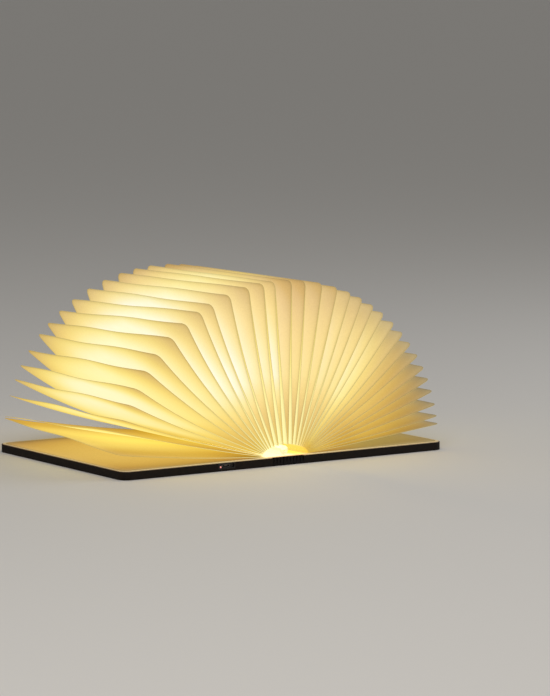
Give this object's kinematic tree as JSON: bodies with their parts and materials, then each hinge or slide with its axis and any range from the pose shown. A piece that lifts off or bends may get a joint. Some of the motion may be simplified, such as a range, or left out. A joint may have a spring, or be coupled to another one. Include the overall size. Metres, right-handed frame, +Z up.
{
  "type": "folding book lamp",
  "caption": "Book-shaped lamp: two walnut covers on a curling slatted spine, with a paper accordion that fans into a half disc.",
  "frame": {"origin": "on the floor under the middle of the spine, with the lamp lying open at 180 degrees on the outer faces of its covers", "axes": "+X across the covers to the right, +Y along the spine away from the end with the charging port, +Z up"},
  "size_m": [0.3508, 0.215, 0.1649],
  "materials": {
    "walnut": "satin",
    "liner_paper": "matte",
    "lamp_paper": "matte",
    "hinge_cloth": "matte",
    "battery_foil": "satin",
    "circuit_green": "satin",
    "black_plastic": "satin",
    "light_pipe": "gloss",
    "amber_film": "satin",
    "magnet_plating": "satin",
    "anodised": "satin",
    "led_board_white": "satin",
    "diffuser_white": "satin"
  },
  "bodies": {
    "spine": {"spine_strip": "walnut", "led_channel": "anodised", "led_strip": "led_board_white", "diffuser": "diffuser_white"},
    "left_strip_1": {"left_strip_1": "walnut"},
    "left_strip_2": {"left_strip_2": "walnut"},
    "left_strip_3": {"left_strip_3": "walnut"},
    "left_strip_4": {"left_strip_4": "walnut"},
    "left_hinge_cloth": {"left_hinge_cloth": "hinge_cloth"},
    "left_cover": {"left_cover": "walnut", "left_liner": "liner_paper", "left_end_flap": "lamp_paper", "battery": "battery_foil", "control_board": "circuit_green", "port_bezel": "black_plastic", "charge_light": "light_pipe", "flex_lead": "amber_film", "left_magnets": "magnet_plating"},
    "right_strip_1": {"right_strip_1": "walnut"},
    "right_strip_2": {"right_strip_2": "walnut"},
    "right_strip_3": {"right_strip_3": "walnut"},
    "right_strip_4": {"right_strip_4": "walnut"},
    "right_hinge_cloth": {"right_hinge_cloth": "hinge_cloth"},
    "right_cover": {"right_cover": "walnut", "right_liner": "liner_paper", "right_end_flap": "lamp_paper", "right_magnets": "magnet_plating"},
    "leaf_01": {"leaf_01": "lamp_paper"},
    "leaf_02": {"leaf_02": "lamp_paper"},
    "leaf_03": {"leaf_03": "lamp_paper"},
    "leaf_04": {"leaf_04": "lamp_paper"},
    "leaf_05": {"leaf_05": "lamp_paper"},
    "leaf_06": {"leaf_06": "lamp_paper"},
    "leaf_07": {"leaf_07": "lamp_paper"},
    "leaf_08": {"leaf_08": "lamp_paper"},
    "leaf_09": {"leaf_09": "lamp_paper"},
    "leaf_10": {"leaf_10": "lamp_paper"},
    "leaf_11": {"leaf_11": "lamp_paper"},
    "leaf_12": {"leaf_12": "lamp_paper"},
    "leaf_13": {"leaf_13": "lamp_paper"},
    "leaf_14": {"leaf_14": "lamp_paper"},
    "leaf_15": {"leaf_15": "lamp_paper"},
    "leaf_16": {"leaf_16": "lamp_paper"},
    "leaf_17": {"leaf_17": "lamp_paper"},
    "leaf_18": {"leaf_18": "lamp_paper"},
    "leaf_19": {"leaf_19": "lamp_paper"},
    "leaf_20": {"leaf_20": "lamp_paper"},
    "leaf_21": {"leaf_21": "lamp_paper"},
    "leaf_22": {"leaf_22": "lamp_paper"},
    "leaf_23": {"leaf_23": "lamp_paper"},
    "leaf_24": {"leaf_24": "lamp_paper"},
    "leaf_25": {"leaf_25": "lamp_paper"},
    "leaf_26": {"leaf_26": "lamp_paper"},
    "leaf_27": {"leaf_27": "lamp_paper"},
    "leaf_28": {"leaf_28": "lamp_paper"},
    "leaf_29": {"leaf_29": "lamp_paper"},
    "leaf_30": {"leaf_30": "lamp_paper"},
    "leaf_31": {"leaf_31": "lamp_paper"},
    "leaf_32": {"leaf_32": "lamp_paper"},
    "leaf_33": {"leaf_33": "lamp_paper"}
  },
  "joints": [
    {"name": "left_strip_1_turn", "type": "hinge", "parent": "spine", "child": "left_strip_1", "pos_m": [-0.00179, 0, 0.0012], "axis": [0, 1, 0], "range_deg": [-18.61, 18.01]},
    {"name": "left_strip_2_turn", "type": "hinge", "parent": "left_strip_1", "child": "left_strip_2", "pos_m": [-0.00537, 0, 0.0012], "axis": [0, 1, 0], "range_deg": [-18.61, 18.01]},
    {"name": "left_strip_3_turn", "type": "hinge", "parent": "left_strip_2", "child": "left_strip_3", "pos_m": [-0.00895, 0, 0.0012], "axis": [0, 1, 0], "range_deg": [-18.61, 18.01]},
    {"name": "left_strip_4_turn", "type": "hinge", "parent": "left_strip_3", "child": "left_strip_4", "pos_m": [-0.01253, 0, 0.0012], "axis": [0, 1, 0], "range_deg": [-18.61, 18.01]},
    {"name": "left_lift", "type": "slide", "parent": "spine", "child": "left_hinge_cloth", "axis": [0, 0, 1], "range_m": [-0.00487, 0.00471], "deforming": ["left_hinge_cloth"]},
    {"name": "left_fold", "type": "hinge", "parent": "left_hinge_cloth", "child": "left_cover", "pos_m": [-0.0113, 0, 0.0012], "axis": [0, 1, 0], "range_deg": [-93, 90], "deforming": ["flex_lead"]},
    {"name": "right_strip_1_turn", "type": "hinge", "parent": "spine", "child": "right_strip_1", "pos_m": [0.00179, 0, 0.0012], "axis": [0, -1, 0], "range_deg": [-18.61, 18.01]},
    {"name": "right_strip_2_turn", "type": "hinge", "parent": "right_strip_1", "child": "right_strip_2", "pos_m": [0.00537, 0, 0.0012], "axis": [0, -1, 0], "range_deg": [-18.61, 18.01]},
    {"name": "right_strip_3_turn", "type": "hinge", "parent": "right_strip_2", "child": "right_strip_3", "pos_m": [0.00895, 0, 0.0012], "axis": [0, -1, 0], "range_deg": [-18.61, 18.01]},
    {"name": "right_strip_4_turn", "type": "hinge", "parent": "right_strip_3", "child": "right_strip_4", "pos_m": [0.01253, 0, 0.0012], "axis": [0, -1, 0], "range_deg": [-18.61, 18.01]},
    {"name": "right_lift", "type": "slide", "parent": "spine", "child": "right_hinge_cloth", "axis": [0, 0, 1], "range_m": [-0.00487, 0.00471], "deforming": ["right_hinge_cloth"]},
    {"name": "right_fold", "type": "hinge", "parent": "right_hinge_cloth", "child": "right_cover", "pos_m": [0.0113, 0, 0.0012], "axis": [0, -1, 0], "range_deg": [-93, 90]},
    {"name": "leaf_01_turn", "type": "hinge", "parent": "spine", "child": "leaf_01", "pos_m": [-0.01079, 0, 0.00037], "axis": [0, 1, 0], "range_deg": [-87.43, 84.61], "deforming": ["leaf_01"]},
    {"name": "leaf_02_turn", "type": "hinge", "parent": "spine", "child": "leaf_02", "pos_m": [-0.01011, 0, -0.00006], "axis": [0, 1, 0], "range_deg": [-81.91, 79.27], "deforming": ["leaf_02"]},
    {"name": "leaf_03_turn", "type": "hinge", "parent": "spine", "child": "leaf_03", "pos_m": [-0.00942, 0, -0.00061], "axis": [0, 1, 0], "range_deg": [-76.32, 73.86], "deforming": ["leaf_03"]},
    {"name": "leaf_04_turn", "type": "hinge", "parent": "spine", "child": "leaf_04", "pos_m": [-0.00872, 0, -0.00125], "axis": [0, 1, 0], "range_deg": [-70.66, 68.38], "deforming": ["leaf_04"]},
    {"name": "leaf_05_turn", "type": "hinge", "parent": "spine", "child": "leaf_05", "pos_m": [-0.00802, 0, -0.00194], "axis": [0, 1, 0], "range_deg": [-64.94, 62.84], "deforming": ["leaf_05"]},
    {"name": "leaf_06_turn", "type": "hinge", "parent": "spine", "child": "leaf_06", "pos_m": [-0.0073, 0, -0.00266], "axis": [0, 1, 0], "range_deg": [-59.15, 57.24], "deforming": ["leaf_06"]},
    {"name": "leaf_07_turn", "type": "hinge", "parent": "spine", "child": "leaf_07", "pos_m": [-0.00658, 0, -0.00339], "axis": [0, 1, 0], "range_deg": [-53.28, 51.56], "deforming": ["leaf_07"]},
    {"name": "leaf_08_turn", "type": "hinge", "parent": "spine", "child": "leaf_08", "pos_m": [-0.00585, 0, -0.00409], "axis": [0, 1, 0], "range_deg": [-47.35, 45.83], "deforming": ["leaf_08"]},
    {"name": "leaf_09_turn", "type": "hinge", "parent": "spine", "child": "leaf_09", "pos_m": [-0.00511, 0, -0.00475], "axis": [0, 1, 0], "range_deg": [-41.35, 40.02], "deforming": ["leaf_09"]},
    {"name": "leaf_10_turn", "type": "hinge", "parent": "spine", "child": "leaf_10", "pos_m": [-0.00436, 0, -0.00533], "axis": [0, 1, 0], "range_deg": [-35.29, 34.15], "deforming": ["leaf_10"]},
    {"name": "leaf_11_turn", "type": "hinge", "parent": "spine", "child": "leaf_11", "pos_m": [-0.0036, 0, -0.0058], "axis": [0, 1, 0], "range_deg": [-29.16, 28.21], "deforming": ["leaf_11"]},
    {"name": "leaf_12_turn", "type": "hinge", "parent": "spine", "child": "leaf_12", "pos_m": [-0.00283, 0, -0.00611], "axis": [0, 1, 0], "range_deg": [-22.95, 22.21], "deforming": ["leaf_12"]},
    {"name": "leaf_13_turn", "type": "hinge", "parent": "spine", "child": "leaf_13", "pos_m": [-0.00206, 0, -0.00616], "axis": [0, 1, 0], "range_deg": [-16.68, 16.14], "deforming": ["leaf_13"]},
    {"name": "leaf_14_turn", "type": "hinge", "parent": "spine", "child": "leaf_14", "pos_m": [-0.00128, 0, -0.00563], "axis": [0, 1, 0], "range_deg": [-10.34, 10.01], "deforming": ["leaf_14"]},
    {"name": "leaf_15_turn", "type": "hinge", "parent": "spine", "child": "leaf_15", "pos_m": [-0.00049, 0, -0.00225], "axis": [0, 1, 0], "range_deg": [-3.94, 3.81], "deforming": ["leaf_15"]},
    {"name": "leaf_16_turn", "type": "hinge", "parent": "spine", "child": "leaf_16", "pos_m": [0.00029, 0, -0.01729], "axis": [0, -1, 0], "range_deg": [-2.39, 2.31], "deforming": ["leaf_16"]},
    {"name": "leaf_17_turn", "type": "hinge", "parent": "spine", "child": "leaf_17", "pos_m": [0.00099, 0, -0.0104], "axis": [0, -1, 0], "range_deg": [-8.03, 7.77], "deforming": ["leaf_17"]},
    {"name": "leaf_18_turn", "type": "hinge", "parent": "spine", "child": "leaf_18", "pos_m": [0.00168, 0, -0.00902], "axis": [0, -1, 0], "range_deg": [-13.59, 13.15], "deforming": ["leaf_18"]},
    {"name": "leaf_19_turn", "type": "hinge", "parent": "spine", "child": "leaf_19", "pos_m": [0.00235, 0, -0.00823], "axis": [0, -1, 0], "range_deg": [-19.08, 18.47], "deforming": ["leaf_19"]},
    {"name": "leaf_20_turn", "type": "hinge", "parent": "spine", "child": "leaf_20", "pos_m": [0.00302, 0, -0.00758], "axis": [0, -1, 0], "range_deg": [-24.49, 23.7], "deforming": ["leaf_20"]},
    {"name": "leaf_21_turn", "type": "hinge", "parent": "spine", "child": "leaf_21", "pos_m": [0.00368, 0, -0.00695], "axis": [0, -1, 0], "range_deg": [-29.83, 28.87], "deforming": ["leaf_21"]},
    {"name": "leaf_22_turn", "type": "hinge", "parent": "spine", "child": "leaf_22", "pos_m": [0.00433, 0, -0.00631], "axis": [0, -1, 0], "range_deg": [-35.09, 33.95], "deforming": ["leaf_22"]},
    {"name": "leaf_23_turn", "type": "hinge", "parent": "spine", "child": "leaf_23", "pos_m": [0.00497, 0, -0.00565], "axis": [0, -1, 0], "range_deg": [-40.27, 38.97], "deforming": ["leaf_23"]},
    {"name": "leaf_24_turn", "type": "hinge", "parent": "spine", "child": "leaf_24", "pos_m": [0.0056, 0, -0.00497], "axis": [0, -1, 0], "range_deg": [-45.37, 43.91], "deforming": ["leaf_24"]},
    {"name": "leaf_25_turn", "type": "hinge", "parent": "spine", "child": "leaf_25", "pos_m": [0.00622, 0, -0.00428], "axis": [0, -1, 0], "range_deg": [-50.4, 48.77], "deforming": ["leaf_25"]},
    {"name": "leaf_26_turn", "type": "hinge", "parent": "spine", "child": "leaf_26", "pos_m": [0.00683, 0, -0.00359], "axis": [0, -1, 0], "range_deg": [-55.35, 53.56], "deforming": ["leaf_26"]},
    {"name": "leaf_27_turn", "type": "hinge", "parent": "spine", "child": "leaf_27", "pos_m": [0.00743, 0, -0.0029], "axis": [0, -1, 0], "range_deg": [-60.22, 58.28], "deforming": ["leaf_27"]},
    {"name": "leaf_28_turn", "type": "hinge", "parent": "spine", "child": "leaf_28", "pos_m": [0.00803, 0, -0.00224], "axis": [0, -1, 0], "range_deg": [-65.02, 62.92], "deforming": ["leaf_28"]},
    {"name": "leaf_29_turn", "type": "hinge", "parent": "spine", "child": "leaf_29", "pos_m": [0.00861, 0, -0.0016], "axis": [0, -1, 0], "range_deg": [-69.73, 67.49], "deforming": ["leaf_29"]},
    {"name": "leaf_30_turn", "type": "hinge", "parent": "spine", "child": "leaf_30", "pos_m": [0.00918, 0, -0.00101], "axis": [0, -1, 0], "range_deg": [-74.38, 71.98], "deforming": ["leaf_30"]},
    {"name": "leaf_31_turn", "type": "hinge", "parent": "spine", "child": "leaf_31", "pos_m": [0.00975, 0, -0.00047], "axis": [0, -1, 0], "range_deg": [-78.94, 76.4], "deforming": ["leaf_31"]},
    {"name": "leaf_32_turn", "type": "hinge", "parent": "spine", "child": "leaf_32", "pos_m": [0.0103, 0, -0.00001], "axis": [0, -1, 0], "range_deg": [-83.43, 80.74], "deforming": ["leaf_32"]},
    {"name": "leaf_33_turn", "type": "hinge", "parent": "spine", "child": "leaf_33", "pos_m": [0.01084, 0, 0.00038], "axis": [0, -1, 0], "range_deg": [-87.84, 85.01], "deforming": ["leaf_33"]}
  ],
  "couplings": [
    {"joint": "left_strip_1_turn", "follows": "left_fold", "ratio": 0.2},
    {"joint": "left_strip_2_turn", "follows": "left_fold", "ratio": 0.2},
    {"joint": "left_strip_3_turn", "follows": "left_fold", "ratio": 0.2},
    {"joint": "left_strip_4_turn", "follows": "left_fold", "ratio": 0.2},
    {"joint": "left_lift", "follows": "left_fold", "m_per_rad": 0.0029937},
    {"joint": "right_strip_1_turn", "follows": "right_fold", "ratio": 0.2},
    {"joint": "right_strip_2_turn", "follows": "right_fold", "ratio": 0.2},
    {"joint": "right_strip_3_turn", "follows": "right_fold", "ratio": 0.2},
    {"joint": "right_strip_4_turn", "follows": "right_fold", "ratio": 0.2},
    {"joint": "right_lift", "follows": "right_fold", "m_per_rad": 0.0029937},
    {"joint": "leaf_01_turn", "follows": "left_fold", "ratio": 0.94},
    {"joint": "leaf_02_turn", "follows": "left_fold", "ratio": 0.88064},
    {"joint": "leaf_03_turn", "follows": "left_fold", "ratio": 0.82054},
    {"joint": "leaf_04_turn", "follows": "left_fold", "ratio": 0.75971},
    {"joint": "leaf_05_turn", "follows": "left_fold", "ratio": 0.69815},
    {"joint": "leaf_06_turn", "follows": "left_fold", "ratio": 0.63585},
    {"joint": "leaf_07_turn", "follows": "left_fold", "ratio": 0.57283},
    {"joint": "leaf_08_turn", "follows": "left_fold", "ratio": 0.50907},
    {"joint": "leaf_09_turn", "follows": "left_fold", "ratio": 0.44457},
    {"joint": "leaf_10_turn", "follows": "left_fold", "ratio": 0.37935},
    {"joint": "leaf_11_turn", "follows": "left_fold", "ratio": 0.31339},
    {"joint": "leaf_12_turn", "follows": "left_fold", "ratio": 0.2467},
    {"joint": "leaf_13_turn", "follows": "left_fold", "ratio": 0.17927},
    {"joint": "leaf_14_turn", "follows": "left_fold", "ratio": 0.11111},
    {"joint": "leaf_15_turn", "follows": "left_fold", "ratio": 0.042222},
    {"joint": "leaf_16_turn", "follows": "right_fold", "ratio": 0.025556},
    {"joint": "leaf_17_turn", "follows": "right_fold", "ratio": 0.086221},
    {"joint": "leaf_18_turn", "follows": "right_fold", "ratio": 0.14606},
    {"joint": "leaf_19_turn", "follows": "right_fold", "ratio": 0.20507},
    {"joint": "leaf_20_turn", "follows": "right_fold", "ratio": 0.26326},
    {"joint": "leaf_21_turn", "follows": "right_fold", "ratio": 0.32062},
    {"joint": "leaf_22_turn", "follows": "right_fold", "ratio": 0.37715},
    {"joint": "leaf_23_turn", "follows": "right_fold", "ratio": 0.43285},
    {"joint": "leaf_24_turn", "follows": "right_fold", "ratio": 0.48773},
    {"joint": "leaf_25_turn", "follows": "right_fold", "ratio": 0.54179},
    {"joint": "leaf_26_turn", "follows": "right_fold", "ratio": 0.59501},
    {"joint": "leaf_27_turn", "follows": "right_fold", "ratio": 0.64741},
    {"joint": "leaf_28_turn", "follows": "right_fold", "ratio": 0.69898},
    {"joint": "leaf_29_turn", "follows": "right_fold", "ratio": 0.74973},
    {"joint": "leaf_30_turn", "follows": "right_fold", "ratio": 0.79965},
    {"joint": "leaf_31_turn", "follows": "right_fold", "ratio": 0.84874},
    {"joint": "leaf_32_turn", "follows": "right_fold", "ratio": 0.89701},
    {"joint": "leaf_33_turn", "follows": "right_fold", "ratio": 0.94444}
  ]
}
